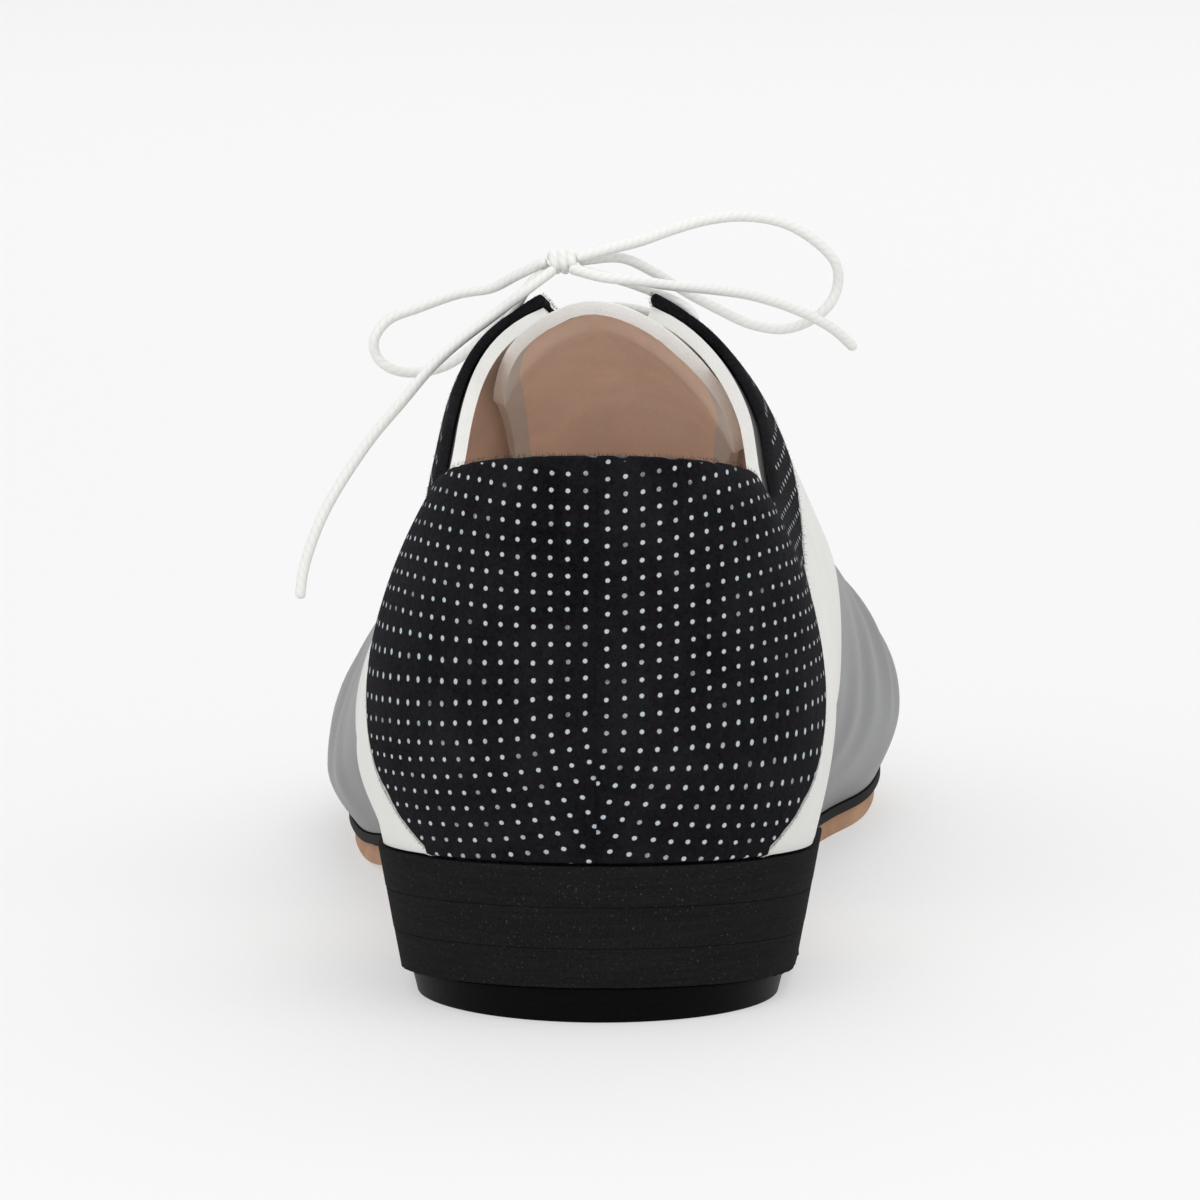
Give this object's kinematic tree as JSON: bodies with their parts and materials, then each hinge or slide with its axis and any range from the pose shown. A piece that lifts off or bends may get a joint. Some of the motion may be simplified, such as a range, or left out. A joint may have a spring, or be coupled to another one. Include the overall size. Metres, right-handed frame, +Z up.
{
  "type": "tango practice shoe, left",
  "caption": "Low-heeled lace-up tango practice shoe for the left foot, with dotted black suede quarters, white leather bands and a grey vamp.",
  "frame": {"origin": "on the floor, under the middle of the box of the shoe without its free lace", "axes": "+Y toward the toe, +Z up, +X toward the medial (big toe) side of this left shoe"},
  "size_m": [0.0925, 0.254, 0.105],
  "materials": {
    "dotted_suede": "matte",
    "white_leather": "satin",
    "grey_leather": "satin",
    "tan_leather": "matte",
    "black_edge": "satin",
    "heel_rubber": "matte",
    "lift_rubber": "satin",
    "lining": "matte",
    "lace_cord": "satin"
  },
  "bodies": {
    "root": {"upper": "grey_leather", "quarter_lateral": "dotted_suede", "quarter_medial": "dotted_suede", "band_lateral": "white_leather", "band_medial": "white_leather", "tongue": "white_leather", "insole": "lining", "edge_band": "black_edge", "outsole": "tan_leather", "heel_layer_1": "heel_rubber", "heel_layer_2": "heel_rubber", "heel_layer_3": "heel_rubber", "top_lift": "lift_rubber", "lacing": "lace_cord", "lace_knot": "lace_cord", "lace_loop_left": "lace_cord", "lace_loop_right": "lace_cord", "lace_end_left": "lace_cord", "lace_end_right": "lace_cord"}
  },
  "joints": []
}
